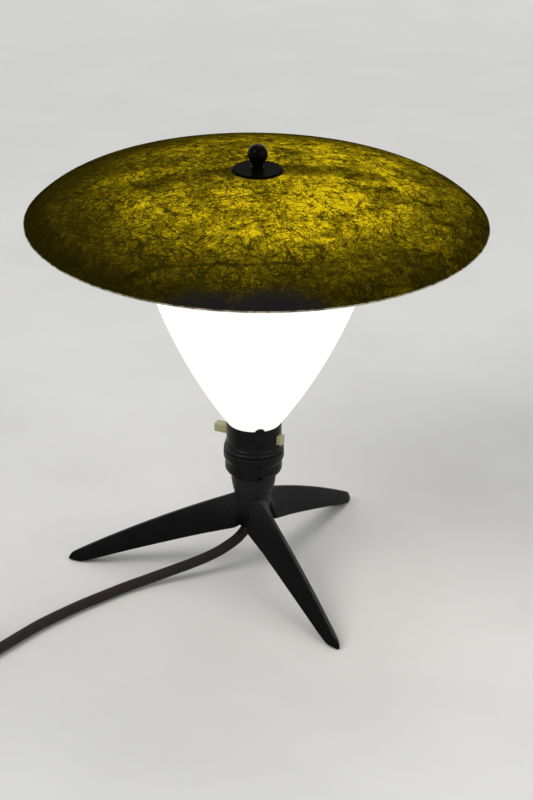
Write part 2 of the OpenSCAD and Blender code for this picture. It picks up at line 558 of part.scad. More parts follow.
// Tie: a flat band round the coil's section.
tie_a = 40;
tie_t = 0.7;
tie_turns = [for (k = [0:8]) let (n = (coil_a0 - tie_a) / 360 + k)
  if (n > 0 && n < coil_turns) coil_radius(n)];
tie_in = min(tie_turns) - cord_r - 0.6;
tie_out = max(tie_turns) + cord_r + 0.6;
tie_hi = coil_z + coil_step + cord_r + 0.3;
module coil_tie() color("#26211f") translate(coil_c) rotate([0, 0, tie_a]) translate([0, 4, 0])
  rotate([90, 0, 0]) linear_extrude(8) difference() {
    translate([tie_in - tie_t, 0]) square([tie_out - tie_in + 2 * tie_t, tie_hi + tie_t]);
    translate([tie_in, tie_t]) square([tie_out - tie_in, tie_hi - tie_t]);
  }

module plug_frame() translate([coil_end[0], coil_end[1] + plug_gap, coil_end[2]])
  rotate([-90, 0, 0]) children();
module plug_sleeve() color("#1d1a1a") plug_frame() rotate_extrude() polygon([
  [cord_r + 0.1, 0], [cord_r + 1, 0], [cord_r + 2.2, sleeve_len], [cord_r + 0.1, sleeve_len]]);
module plug_body() color("#1e1c1b") plug_frame() translate([0, 0, sleeve_len]) difference() {
  rotate_extrude() polygon(concat([[0, 0], [7, 0]], turn_pts([7.6, 0.6], [plug_r, plug_len * 0.45], 8),
    [[plug_r, plug_len - 1], [plug_r - 1, plug_len], [0, plug_len]]));
  for (m = [-1, 1]) translate([m * 8.5, 0, plug_len - 8]) cylinder(r = plug_pin_r + fit, h = 20);
}
module plug_pins() color("#c8b27a") plug_frame() for (m = [-1, 1])
  translate([m * 8.5, 0, sleeve_len + plug_len - 8]) {
  cylinder(r = plug_pin_r, h = plug_pin_len + 7);
  translate([0, 0, plug_pin_len + 7]) cylinder(r1 = plug_pin_r, r2 = plug_pin_r - 0.9, h = 1);
}

tripod_base();
cord_bush();
nipple();
nipple_nut();
core_wires();
holder_cap();
grub_screw();
holder_body();
glass_clips();
terminal_block();
terminal_posts();
terminal_screws();
plunger_springs();
plungers();
switch_leaf();
push_bar();
bar_contact();
opal_glass();
glass_gasket();
glass_ring();
bulb_glass();
bulb_cap();
bulb_pins();
bulb_insulator();
bulb_contacts();
shade_disc();
top_washer();
lower_washer();
finial_ball();
shade_stud();
stud_nuts();
shade_bridge();
cord_lead();
cord_coil();
coil_tie();
plug_sleeve();
plug_body();
plug_pins();
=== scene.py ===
"""Table lamp: finished surfaces, cord, floor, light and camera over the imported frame."""
import json
from math import cos, pi, radians, sin, sqrt

import bpy
import numpy as np
from mathutils import Matrix, Vector


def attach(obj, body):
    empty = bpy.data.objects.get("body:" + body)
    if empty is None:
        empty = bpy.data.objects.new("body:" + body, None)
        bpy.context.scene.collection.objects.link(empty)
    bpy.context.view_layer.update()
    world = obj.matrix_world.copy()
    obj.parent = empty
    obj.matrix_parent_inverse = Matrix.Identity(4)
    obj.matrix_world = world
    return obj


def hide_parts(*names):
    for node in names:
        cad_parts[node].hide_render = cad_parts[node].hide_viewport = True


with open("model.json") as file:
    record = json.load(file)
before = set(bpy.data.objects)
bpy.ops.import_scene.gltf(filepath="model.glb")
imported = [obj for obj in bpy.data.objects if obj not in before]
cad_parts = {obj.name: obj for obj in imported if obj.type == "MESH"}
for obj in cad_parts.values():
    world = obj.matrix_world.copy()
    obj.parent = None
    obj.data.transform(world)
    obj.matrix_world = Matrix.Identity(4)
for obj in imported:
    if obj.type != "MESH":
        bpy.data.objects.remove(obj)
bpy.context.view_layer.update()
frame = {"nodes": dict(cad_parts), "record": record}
nodes = frame["nodes"]
scene = bpy.context.scene
scene.view_settings.view_transform = "Standard"

PER_METRE = 1000  # cord, tie and tripod are worked out in millimetres


# Camera, fitted to the photograph: metres, degrees, and millimetres for lens and sensor
EYE = (0.00853, -1.79546, 0.96924)
PITCH, ROLL = 24.966, 0.866
LENS, SENSOR_H = 126, 36
CLIP_END = 50


def add_camera():
    """Long lens, looking along +Y and down at the lamp, as in the photograph."""
    pitch, roll = radians(PITCH), radians(ROLL)
    ahead = Vector((0, cos(pitch), -sin(pitch)))
    side = Vector((1, 0, 0))
    up = side.cross(ahead)
    right = cos(roll) * side + sin(roll) * up
    top = cos(roll) * up - sin(roll) * side
    data = bpy.data.cameras.new("camera")
    data.sensor_fit = "VERTICAL"
    data.sensor_height = SENSOR_H
    data.lens = LENS
    data.clip_end = CLIP_END
    cam = bpy.data.objects.new("camera", data)
    axes = Matrix((right, top, -ahead)).transposed().to_4x4()
    cam.matrix_world = Matrix.Translation(EYE) @ axes
    scene.collection.objects.link(cam)
    scene.camera = cam


add_camera()


# Materials: textures run in metres, colours are linear
class Look:
    """A Principled material with short calls for procedural detail."""

    def __init__(self, name, **fixed):
        self.mat = bpy.data.materials.new(name)
        self.mat.use_nodes = True
        self.tree = self.mat.node_tree
        self.bsdf = self.tree.nodes["Principled BSDF"]
        self.place = self.tree.nodes.new("ShaderNodeTexCoord").outputs["Object"]
        self.normal = None
        for socket, value in fixed.items():
            self.set(socket.replace("_", " "), value)

    def put(self, socket, value):
        """Links a socket or sets its value. A colour may come without its alpha."""
        if isinstance(value, bpy.types.NodeSocket):
            self.tree.links.new(value, socket)
        elif socket.type == "RGBA" and len(value) == 3:
            socket.default_value = (*value, 1)
        else:
            socket.default_value = value

    def set(self, socket, value):
        self.put(self.bsdf.inputs[socket], value)

    def node(self, kind, *values, out=0, **props):
        """New node with its inputs given in order, None for one left alone."""
        n = self.tree.nodes.new("ShaderNode" + kind)
        for key, value in props.items():
            setattr(n, key, value)
        for socket, value in zip(n.inputs, values):
            if value is not None:
                self.put(socket, value)
        return n.outputs[out]

    def math(self, op, a, b=None, c=None):
        return self.node("Math", a, b, c, operation=op)

    def times(self, a, b):
        return self.math("MULTIPLY", a, b)

    def away(self, value, middle):
        """How far a value is from a middle one, either way."""
        return self.math("ABSOLUTE", self.math("SUBTRACT", value, middle))

    def uneven(self, value, noise, depth):
        """A value moved by noise, up to half of depth each way."""
        return self.math("MULTIPLY_ADD", noise, depth, self.math("SUBTRACT", value, depth / 2))

    def span(self, x, lo, hi, to_lo=0.0, to_hi=1.0):
        """Smooth step: to_lo up to lo, to_hi from hi on."""
        return self.node("MapRange", x, lo, hi, to_lo, to_hi, interpolation_type="SMOOTHSTEP")

    def mix(self, share, a, b):
        n = self.tree.nodes.new("ShaderNodeMix")
        n.data_type = "RGBA"
        for socket, value in ((n.inputs[0], share), (n.inputs[6], a), (n.inputs[7], b)):
            self.put(socket, value)
        return n.outputs[2]

    def split(self, vector):
        n = self.tree.nodes.new("ShaderNodeSeparateXYZ")
        self.put(n.inputs[0], vector)
        return n.outputs[:]

    def radius(self):
        """Level distance from the lamp's axis."""
        x, y, _ = self.split(self.place)
        return self.math("SQRT", self.math("MULTIPLY_ADD", x, x, self.times(y, y)))

    def toward(self, x_share, y_share):
        """Distance from the axis along a level direction."""
        x, y, _ = self.split(self.place)
        return self.math("MULTIPLY_ADD", y, y_share, self.times(x, x_share))

    def shifted(self, offset=(0, 0, 0), scale=(1, 1, 1)):
        return self.node("Mapping", self.place, offset, None, scale)

    def noise(self, scale, detail=2.0, rough=0.5, at=None, warp=0.0, color=False):
        n = self.tree.nodes.new("ShaderNodeTexNoise")
        self.put(n.inputs["Vector"], at or self.place)
        settings = dict(Scale=scale, Detail=detail, Roughness=rough, Distortion=warp)
        for key, value in settings.items():
            n.inputs[key].default_value = value
        return n.outputs[1 if color else 0]

    def warped(self, scale, depth, offset=(0, 0, 0)):
        """Places pushed about by noise, so that straight patterns bend."""
        push = self.noise(scale, 1.5, at=self.shifted(offset), color=True)
        push = self.node("VectorMath", push, (0.5, 0.5, 0.5), operation="SUBTRACT")
        push = self.node("VectorMath", push, None, None, depth, operation="SCALE")
        return self.node("VectorMath", self.place, push, operation="ADD")

    def bump(self, height, depth):
        """Fine relief, on top of any that is there already."""
        n = self.tree.nodes.new("ShaderNodeBump")
        n.inputs["Distance"].default_value = depth
        self.put(n.inputs["Height"], height)
        if self.normal:
            self.put(n.inputs["Normal"], self.normal)
        self.normal = n.outputs[0]
        self.set("Normal", self.normal)


def moulding(name, dark, light, rough=(0.3, 0.46), grain=0.00003, gloss=0.2, dust_and_highlight=None, painted_sheen_heights=None):
    """Pressed plastic: cloudy colour, uneven gloss and a very fine skin.

    An optional film colour lies on faces that look up: a dusty film, and also a painted highlight on ledges
    and ridges. Optional heights let some of it grow on upright faces too, as painted light, lighter higher
    up.
    """
    look = Look(name, Specular_IOR_Level=gloss)
    color = look.mix(look.span(look.noise(38, 4, 0.6), 0.32, 0.7), dark, light)
    # Film on faces that look up: a dusty film and a painted highlight on ledges and ridges
    if dust_and_highlight:
        normal = look.node("NewGeometry", out=1)
        film = look.span(look.split(normal)[2], 0.62, 0.94)
        film = look.times(film, look.span(look.noise(90, 3, 0.6), 0.3, 0.6, 0.5, 1.0))
        # Painted light: the film also grows on upright faces above the given heights
        if painted_sheen_heights:
            height = look.split(look.place)[2]
            film = look.math("MAXIMUM", film, look.span(height, *painted_sheen_heights, 0.0, 0.3))
        color = look.mix(film, color, dust_and_highlight)
    look.set("Base Color", color)
    look.set("Roughness", look.span(look.noise(150, 3, 0.6), 0.3, 0.72, *rough))
    look.bump(look.noise(1400, 2), grain)
    return look.mat


def metal(name, dark, light, rough=(0.24, 0.42)):
    """Turned or drawn metal with fine tool lines and a dull film."""
    look = Look(name, Metallic=1.0)
    lines = look.noise(260, 3, 0.6, at=look.shifted(scale=(1, 1, 30)))
    film = look.noise(120, 4, 0.6)
    look.set("Base Color", look.mix(look.span(film, 0.35, 0.7), light, dark))
    look.set("Roughness", look.span(film, 0.3, 0.7, *rough))
    look.bump(lines, 0.00003)
    return look.mat


def soft(name, dark, light, scale=500):
    """Rubber, card and the like: matt, with a grain."""
    look = Look(name)
    clouds = look.noise(scale * 0.2, 4, 0.6)
    look.set("Base Color", look.mix(look.span(clouds, 0.3, 0.7), dark, light))
    look.set("Roughness", look.span(look.noise(scale, 2), 0.3, 0.7, 0.6, 0.85))
    look.bump(look.noise(scale, 3), 0.00008)
    return look.mat


def wood(name, dark, light):
    """Dark polished turned wood."""
    look = Look(name, Specular_IOR_Level=0.025)
    grain = look.noise(240, 4, 0.6, at=look.shifted(scale=(1, 1, 0.15)), warp=0.6)
    look.set("Base Color", look.mix(look.span(grain, 0.35, 0.7), dark, light))
    look.set("Roughness", look.span(grain, 0.3, 0.7, 0.1, 0.18))
    look.bump(grain, 0.00001)
    return look.mat


def opal(name, glow):
    """Lit opal glass: white body, faint seeds and flow, clear gloss."""
    look = Look(name, Coat_Weight=0.15, Coat_Roughness=0.05)
    flow = look.noise(28, 3, 0.55, at=look.shifted(scale=(1, 1, 0.35)))
    milk = look.span(flow, 0.3, 0.7)
    look.set("Base Color", look.mix(milk, (0.8, 0.8, 0.78), (0.86, 0.855, 0.83)))
    look.set("Roughness", look.span(look.noise(300, 2), 0.3, 0.7, 0.1, 0.18))
    look.set("Emission Color", look.mix(milk, (1, 0.985, 0.95), (1, 1, 0.99)))
    look.set("Emission Strength", glow)
    look.bump(flow, 0.00004)
    return look.mat


# Shade's finish, with painted light and painted shade: places in metres, the bar's direction in degrees from
# +X
FIBRE_LAYERS = 8
BRIDGE_DIR = 8
# Level directions in which the painted light is stronger and the painted shade deeper
PAINTED_LIGHT_SIDE, PAINTED_SHADE_SIDE = (0.95, -0.31), (-0.45, 0.97)
CREASE_X, CREASE_Y = -0.028, -0.1245
SHADE_RIM_Z = 0.269  # the cut edge lies just below


def fibre_light(look):
    """Share of light that comes through crossing fibres: every third layer long, then two of fine curls."""
    bent = [look.warped(26, 0.03), look.warped(70, 0.012, (0.6, 0.2, 0.4))]
    light = None
    for i in range(FIBRE_LAYERS):
        if i % 3 == 2:
            base, stretch, scale, width, least = bent[0], 11, 76, 0.014, 0.4
        else:
            base, stretch, scale = bent[i % 2], 4 + i % 3, 120 + 14 * i
            width, least = 0.026, 0.5 + 0.04 * (i % 4)
        at = look.node("Mapping", base, (0.37 * i, 0.21 * i, 0), (0, 0, 0.4 * i), (1, stretch, 1),
                       vector_type="TEXTURE")
        fibre = look.away(look.noise(scale, 1.0, at=at), 0.5)
        line = look.span(fibre, 0.003, width, least, 1.0)
        light = look.times(light, line) if light else line
    for scale in (330, 480):
        curl = look.away(look.noise(scale, 1.5, at=bent[1], warp=0.8), 0.5)
        light = look.times(light, look.span(curl, 0.0, 0.07, 0.55, 1.0))
    return light


def fibreglass(name):
    """Fibre mat in yellow resin, lit from behind by painted light: a painted glow, the bar's painted shadow,
    a crease, painted shade on the front rim and a pale cut edge that is also a painted highlight.

    Each share lessens or strengthens the painted light in some part of the shade.
    """
    look = Look(name, Specular_IOR_Level=0.0, Emission_Strength=1.0)
    patch = look.noise(130, 3, 0.6)
    cloud = look.noise(34, 3, 0.55, at=look.shifted((0.4, 0.1, 0)))
    light = fibre_light(look)
    light = look.times(light, look.span(patch, 0.3, 0.7, 0.7, 1.4))
    light = look.times(light, look.span(cloud, 0.32, 0.68, 0.5, 1.15))
    light = look.math("POWER", light, 1.55)

    x, y, z = look.split(look.place)
    radius = look.radius()
    ragged = look.uneven(radius, cloud, 0.05)
    toward_painted_light = look.toward(*PAINTED_LIGHT_SIDE)
    toward_painted_shade = look.toward(*PAINTED_SHADE_SIDE)
    bar = radians(BRIDGE_DIR)
    across = look.away(look.uneven(look.toward(-sin(bar), cos(bar)), patch, 0.016), 0.0)
    fold = look.away(look.uneven(y, cloud, 0.008), CREASE_Y)
    # Painted light and shade, in order: the glass mouth's light ending in a ragged ring, painted shade
    # towards the rim, a painted brighter side, painted shade at the back, the bridge bar's painted shadow,
    # and the crease as a dark line in the painted light
    shares = [
        look.span(ragged, 0.092, 0.132, 1.0, 0.17),  # light from the glass mouth ends in a ragged ring
        look.span(radius, 0.132, 0.156, 1.0, 0.22),
        look.node("MapRange", toward_painted_light, -0.1, 0.06, 0.45, 1.24),
        look.span(toward_painted_light, 0.112, 0.14, 1.0, 1.8),
        look.span(toward_painted_shade, 0.02, 0.11, 1.0, 0.5),
        look.math("MAXIMUM", look.span(across, 0.004, 0.014, 0.34, 1.0),  # the bar's shadow
                  look.span(radius, 0.05, 0.12)),
        look.math("MAXIMUM", look.span(fold, 0.0004, 0.0026, 0.32, 1.0),  # the crease
                  look.span(look.away(x, CREASE_X), 0.045, 0.065)),
    ]
    for share in shares:
        light = look.times(light, share)
    # Painted shade along the front rim, where the light from the glass does not reach
    front = look.uneven(look.uneven(y, patch, 0.012), cloud, 0.012)
    painted_dark_rim = look.span(front, -0.158, -0.143, 0.85, 0.0)
    # Pale cut edge just below the rim, whose colour and faint glow are also a painted highlight along it
    edge = look.span(z, SHADE_RIM_Z + 0.0002, SHADE_RIM_Z + 0.0007, 1.0, 0.0)
    edge = look.times(edge, look.span(patch, 0.38, 0.6, 0.25, 1.0))

    # Painted glow: the bulb's light coming through the shade, given as emission, with painted shade where it
    # is low
    glow = look.mix(light, (0.006, 0.0045, 0.0), (0.72, 0.51, 0.003))
    glow = look.mix(painted_dark_rim, glow, (0.0, 0.0, 0.0005))
    look.set("Emission Color", look.mix(edge, glow, (0.06, 0.05, 0.02)))
    # The body colour follows the same painted light, and the unlit rim gets painted shade
    body = look.mix(light, (0.012, 0.01, 0.0012), (0.12, 0.092, 0.004))
    body = look.mix(look.span(ragged, 0.142, 0.154), body, (0.006, 0.005, 0.0008))
    body = look.mix(painted_dark_rim, body, (0.012, 0.012, 0.014))
    look.set("Base Color", look.mix(edge, body, (0.36, 0.34, 0.26)))
    look.set("Roughness", look.span(light, 0, 1, 0.6, 0.45))
    look.bump(light, 0.00006)
    return look.mat


# Cord's cover: strands round the cord, and metres from one stitch to the next
BRAID_STRANDS, BRAID_PITCH = 9, 0.0034


def braid(name):
    """Woven cord cover, laid out by the cord's own length and girth."""
    look = Look(name, Sheen_Weight=0.06, Sheen_Roughness=0.5, Specular_IOR_Level=0.15)
    u, v, _ = look.split(look.node("UVMap"))
    around = look.math("SINE", look.times(u, 2 * pi * BRAID_STRANDS))
    along = look.math("SINE", look.times(v, 2 * pi / BRAID_PITCH))
    weave = look.span(look.times(around, along), -1, 1)
    yarn = look.noise(2600, 2)
    tone = look.mix(weave, (0.009, 0.0052, 0.006), (0.032, 0.0205, 0.022))
    tone = look.mix(look.span(look.noise(60, 3), 0.35, 0.7, 0, 0.35), tone, (0.025, 0.02, 0.019))
    look.set("Base Color", tone)
    look.set("Roughness", look.span(yarn, 0.3, 0.7, 0.7, 0.9))
    look.bump(weave, 0.0002)
    look.bump(yarn, 0.00006)
    return look.mat


# Kind of finish, name, darker colour, lighter colour and what differs from the kind's usual finish
PALETTE = [
    # Its film on upward faces is a dusty film and a painted highlight on ledges
    (moulding, "black_moulding", (0.0035, 0.0035, 0.0037), (0.006, 0.006, 0.006),
     dict(rough=(0.26, 0.38), grain=0.00002, gloss=0.1, dust_and_highlight=(0.034, 0.034, 0.033))),
    # Its film is a dusty film and a painted highlight on the leg ridges, and the hub is painted lighter
    # above the given heights
    (moulding, "tripod_moulding", (0.0018, 0.0018, 0.002), (0.0032, 0.0032, 0.0034),
     dict(rough=(0.26, 0.38), grain=0.00002, gloss=0.05, dust_and_highlight=(0.049, 0.05, 0.049), painted_sheen_heights=(0.04, 0.066))),
    (moulding, "plug_moulding", (0.014, 0.013, 0.012), (0.026, 0.023, 0.022), {}),
    (moulding, "brown_moulding", (0.09, 0.055, 0.03), (0.15, 0.1, 0.06), {}),
    (moulding, "cream_moulding", (0.4, 0.37, 0.2), (0.5, 0.46, 0.27), dict(rough=(0.34, 0.5), gloss=0.3)),
    (soft, "black_rubber", (0.012, 0.012, 0.012), (0.024, 0.023, 0.022), {}),
    (soft, "core_rubber", (0.1, 0.035, 0.02), (0.17, 0.065, 0.035), {}),
    (soft, "gasket_card", (0.06, 0.045, 0.03), (0.1, 0.075, 0.05), dict(scale=900)),
    (metal, "brass", (0.36, 0.22, 0.07), (0.6, 0.41, 0.15), {}),
    (metal, "steel", (0.3, 0.29, 0.27), (0.5, 0.49, 0.47), {}),
    (metal, "solder", (0.38, 0.38, 0.37), (0.55, 0.55, 0.54), dict(rough=(0.3, 0.5))),
    (moulding, "dark_steel", (0.004, 0.004, 0.0038), (0.009, 0.0088, 0.0085),
     dict(rough=(0.3, 0.45), grain=0.00001, gloss=0.1)),
    (moulding, "black_lacquer", (0.0015, 0.0015, 0.0012), (0.003, 0.0028, 0.0022),
     dict(rough=(0.22, 0.34), grain=0.000005, gloss=0.004)),
    (moulding, "dark_glass", (0.01, 0.008, 0.01), (0.02, 0.016, 0.018),
     dict(rough=(0.05, 0.12), grain=0.000005, gloss=0.5)),
    (wood, "dark_wood", (0.0015, 0.0011, 0.0006), (0.004, 0.0027, 0.0012), {}),
]
DIFFUSER_GLOW, BULB_GLOW = 0.65, 0.8

MATERIALS = {name: kind(name, dark, light, **more) for kind, name, dark, light, more in PALETTE}
MATERIALS["opal_glass"] = opal("opal_glass", DIFFUSER_GLOW)
MATERIALS["frosted_glass"] = opal("frosted_glass", BULB_GLOW)
MATERIALS["fibreglass"] = fibreglass("fibreglass")
MATERIALS["cord_braid"] = braid("cord_braid")

for part in frame["record"]["subparts"]:
    mesh = nodes[part["node"]].data
    mesh.materials.clear()
    mesh.materials.append(MATERIALS[part["material_slot"]])


# Meshes
def add_mesh(name, verts, faces, material, uv=None):
    """New object with smooth faces. uv has one pair for each corner of each face."""
    mesh = bpy.data.meshes.new(name)
    mesh.from_pydata([tuple(v) for v in verts], [], faces)
    mesh.polygons.foreach_set("use_smooth", [True] * len(mesh.polygons))
    if uv is not None:
        layer = mesh.uv_layers.new(name="along")
        layer.data.foreach_set("uv", np.asarray(uv, np.float32).ravel())
    mesh.materials.append(material)
    obj = bpy.data.objects.new(name, mesh)
    scene.collection.objects.link(obj)
    return obj


def ring_faces(rows, cols, closed=False):
    """Faces between rings of points, with a face on each end unless the rings close on themselves."""
    faces = []
    for i in range(rows if closed else rows - 1):
        here, ahead = i * cols, (i + 1) % rows * cols
        for j in range(cols):
            k = (j + 1) % cols
            faces.append((here + j, here + k, ahead + k, ahead + j))
    if not closed:
        last = (rows - 1) * cols
        faces += [tuple(range(cols))[::-1], tuple(range(last, last + cols))]
    return faces


# Cord in millimetres and degrees: the route as far as the coil, then the coil, the tie round it and the plug
LEAD = [
    (0, 0, 70), (0, 0, 63), (0, 0, 56), (0, 0, 49.5), (-1.1, -0.3, 41.1), (-4.1, -1.3, 33.2),
    (-9, -2.9, 26.5), (-14.5, -4.8, 21.9), (-23.9, -8.3, 16.6), (-33.3, -12.5, 13.3), (-43.2, -17.3, 11),
    (-53.7, -21.9, 8.9), (-63.5, -26.1, 6.9), (-73, -30.6, 5.2), (-90, -42, 4), (-107, -57, 3.9),
    (-121, -70, 3.9), (-134, -83.5, 3.9), (-147, -98, 3.9), (-159, -114, 3.9), (-171, -130.4, 3.9),
    (-179, -141.2, 4.4)]
CORD_D, CORD_SIDES = 7.5, 14
COIL_C, COIL_Z = (-238, -131), 4.7
COIL_R, COIL_STEP = 53.8, 8.1
COIL_START, COIL_TURNS = -35, 5 + 145 / 360
COIL_MID = COIL_TURNS / 2
COIL_TURN_IN = 0.0016  # rounds the change from winding inwards to winding outwards
COIL_CLIMB = 0.25  # turns before and after the middle in which the cord climbs to the upper layer
COIL_POINTS = 130
COIL_TAIL, PLUG_GAP, SLEEVE = 8, 18, 24
TIE_ANGLE, TIE_T, TIE_HALF_W = 40, 0.7, 4.0
TIE_BESIDE, TIE_ABOVE = 0.6, 0.3
TIE_CORNER, TIE_BEVEL = 5.0, 0.25


def coil_radius(n):
    """Radius after n turns: inwards in the lower layer, outwards in the upper one."""
    return COIL_R - COIL_STEP * (COIL_MID - sqrt((n - COIL_MID) ** 2 + COIL_TURN_IN))


def climb(n):
    """Share of the way from the lower layer to the upper one after n turns."""
    past = min(max(n - COIL_MID + COIL_CLIMB, 0.0), 2 * COIL_CLIMB)
    return 0.5 - 0.5 * cos(pi * past / (2 * COIL_CLIMB))


def coil_point(n):
    """Middle of the cord after n turns of the coil."""
    r = coil_radius(n)
    a = radians(COIL_START - 360 * n)
    return np.array((COIL_C[0] + r * cos(a), COIL_C[1] + r * sin(a), COIL_Z + COIL_STEP * climb(n)))


def cord_route():
    """Route in millimetres: down to the table, away to the left, then the coil and the plug."""
    start = coil_point(0)
    head = coil_point(0.001) - start
    head /= np.linalg.norm(head)
    coil = [coil_point(COIL_TURNS * i / COIL_POINTS) for i in range(COIL_POINTS + 1)]
    tail = [coil[-1] + (0, COIL_TAIL, 0), coil[-1] + (0, PLUG_GAP + SLEEVE, 0)]
    lead = [np.array(p, float) for p in LEAD] + [start - d * head for d in (CORD_D + 5, CORD_D)]
    return np.array(lead + coil + tail)


def smooth(points, per):
    """Catmull-Rom curve through the points, in per steps from one to the next."""
    p = np.vstack((2 * points[0] - points[1], points, 2 * points[-1] - points[-2]))
    rows = []
    for i in range(1, len(p) - 2):
        a, b, c, d = p[i - 1:i + 3]
        for t in np.arange(per) / per:
            rows.append(0.5 * (2 * b + (c - a) * t + (2 * a - 5 * b + 4 * c - d) * t * t
                               + (3 * b - a - 3 * c + d) * t ** 3))
    return np.array(rows + [points[-1]])


def tube(name, line, radius, sides, material):
    """Round tube along a line, its UVs once round and in metres along."""
    step = np.gradient(line, axis=0)
    step /= np.linalg.norm(step, axis=1)[:, None]
    side = np.cross(step[0], (1, 0, 0))
    side /= np.linalg.norm(side)
    turn = np.arange(sides) * 2 * pi / sides
    rings = []
    for p, t in zip(line, step):
        side = side - t * side.dot(t)
        side /= np.linalg.norm(side)
        over = np.cross(t, side)
        rings.append(p + radius * (np.cos(turn)[:, None] * side + np.sin(turn)[:, None] * over))
    reach = np.concatenate(([0], np.cumsum(np.linalg.norm(np.diff(line, axis=0), axis=1))))
    uv = []
    for here, ahead in zip(reach, reach[1:]):
        for j in range(sides):
            left, right = j / sides, (j + 1) / sides
            uv += [(left, here), (right, here), (right, ahead), (left, ahead)]
    uv += [(0.5, 0.0)] * (2 * sides)
    return add_mesh(name, np.concatenate(rings), ring_faces(len(line), sides), material, uv)


def tie_line():
    """Middle line of the strap round the coil's section, as radius and height, with rounded corners."""
    first = (COIL_START - TIE_ANGLE) / 360
    under = [first + k for k in range(9)]
    turns = [coil_radius(n) for n in under if 0 < n < COIL_TURNS]
    lo = min(turns) - CORD_D / 2 - TIE_BESIDE + TIE_CORNER
    hi = max(turns) + CORD_D / 2 + TIE_BESIDE - TIE_CORNER
    low = TIE_T + TIE_CORNER
    high = COIL_Z + COIL_STEP + CORD_D / 2 + TIE_ABOVE - TIE_CORNER
    r = TIE_CORNER + TIE_T / 2
    line = []
    for x, z, first_angle in ((lo, low, 180), (hi, low, 270), (hi, high, 0), (lo, high, 90)):
        line += [(x + r * cos(a), z + r * sin(a)) for a in np.radians(first_angle + np.arange(0, 91, 15))]
    return np.array(line)


def add_tie():
    """Flat rubber strap round the coil's section, its edges bevelled."""
    line = tie_line()
    out = np.roll(line, -1, 0) - np.roll(line, 1, 0)
    out = np.stack((out[:, 1], -out[:, 0]), 1) / np.linalg.norm(out, axis=1)[:, None]
    flat = TIE_HALF_W - TIE_BEVEL
    # Across the strap, and share of its thickness
    upper = [(-TIE_HALF_W, 0.12), (-flat, 0.5), (flat, 0.5), (TIE_HALF_W, 0.12)]
    edge = upper + [(w, -h) for w, h in upper[::-1]]
    c, s = cos(radians(TIE_ANGLE)), sin(radians(TIE_ANGLE))
    verts = []
    for p, o in zip(line, out):
        for y, h in edge:
            x, z = p + o * h * TIE_T
            verts.append((COIL_C[0] + c * x - s * y, COIL_C[1] + s * x + c * y, z))
    faces = ring_faces(len(line), len(edge), closed=True)
    tie = add_mesh("tie_strap", np.array(verts) / PER_METRE, faces, MATERIALS["black_rubber"])
    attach(tie, "base")
    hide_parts("coil_tie")
    return tie


def add_cord():
    """The whole cord as one tube from the base to the plug, with its tie."""
    route = cord_route() / PER_METRE
    cord = tube("cord", smooth(route, 5), CORD_D / 2 / PER_METRE, CORD_SIDES, MATERIALS["cord_braid"])
    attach(cord, "base")
    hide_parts("cord_lead", "cord_coil")
    [add_tie()] + [nodes[n] for n in ("plug_sleeve", "plug_body", "plug_pins")]


add_cord()


# Tripod base in millimetres and degrees: hub, bore and three legs
HUB_TOP_Z, HUB_TOP_R, HUB_WAIST_R = 77.5, 16.3, 13.5
CUP_Z = 60.5
COLUMN_Z, COLUMN_R = 36, 12.3
HUB_EDGE, COLUMN_ROUND = 0.6, 2.2
BORE_MOUTH_R, BORE_THROAT_R, BUSH_R, NIPPLE_R = 9.1, 8.2, 6.6, 5.05
BUSH_Z, CORD_TOP_Z = 49.5, 70
BORE_STEP = 0.05  # height over which the bore narrows
LEG_DIR = -63  # the front leg, from +X
LEG_ROOT, FOOT_S, LEG_REACH = 12, 124, 133  # from the axis to column, flat foot and solid's tip
LEG_TIP = LEG_REACH + 1.5  # the skin goes a little further than the solid
LEG_RIDGE_Z, LEG_TIP_H, LEG_BOW = 60, 5.2, 2.9
LEG_UNDER_Z, LEG_ARCH = 37, 1.3
FOOT_EASE, FOOT_SINK = 1.6, 0.1  # the underside comes down on the table in a curve
LEG_SPREAD, LEG_LEAST_W = 0.48, 0.4
ROOT_FLARE, ROOT_FLARE_RUN = 1.2, 20
RIDGE_HALF, RIDGE_DROP, NOSE_LEN = 1.7, 1.3, 4
SIDE_FULLNESS, FOOT_CORNER = 0.53, 1.0
ROOT_PINCH, PINCH_S = 0.3, (12.5, 9)  # inside the column a leg narrows
ROOT_CROWN, CROWN_S = 2.8, (16, 9)  # and its ridge grows wider
SKIN_VOXEL, SKIN_FAIR, SKIN_KEPT = 0.0005, 12, 0.25
TIP_STEPS = np.sin(np.linspace(0.1, 0.985, 12) * pi / 2)
LEG_STEPS = np.concatenate((np.linspace(4, FOOT_S, 32), LEG_TIP - (LEG_TIP - FOOT_S) * (1 - TIP_STEPS)))


def bow(p, q, sag, n):
    """Curve from p to q that bulges outwards by sag."""
    p, q = np.array(p, float), np.array(q, float)
    d = q - p
    side = np.array((d[1], -d[0])) / np.linalg.norm(d)
    return [tuple(p + d * t + side * 4 * sag * t * (1 - t)) for t in np.linspace(0, 1, n + 1)]


def ease(start, end, x):
    """Smooth step from 0 at start to 1 at end."""
    t = min(1.0, max(0.0, (x - start) / (end - start)))
    return t * t * (3 - 2 * t)


def turned(outline, sides=96):
    """Closed body turned about the axis, its outline going up from the lower face to the upper one."""
    turn = np.linspace(0, 2 * pi, sides, endpoint=False)
    points = [(r * cos(a), r * sin(a), z) for r, z in outline for a in turn]
    return points, ring_faces(len(outline), sides)


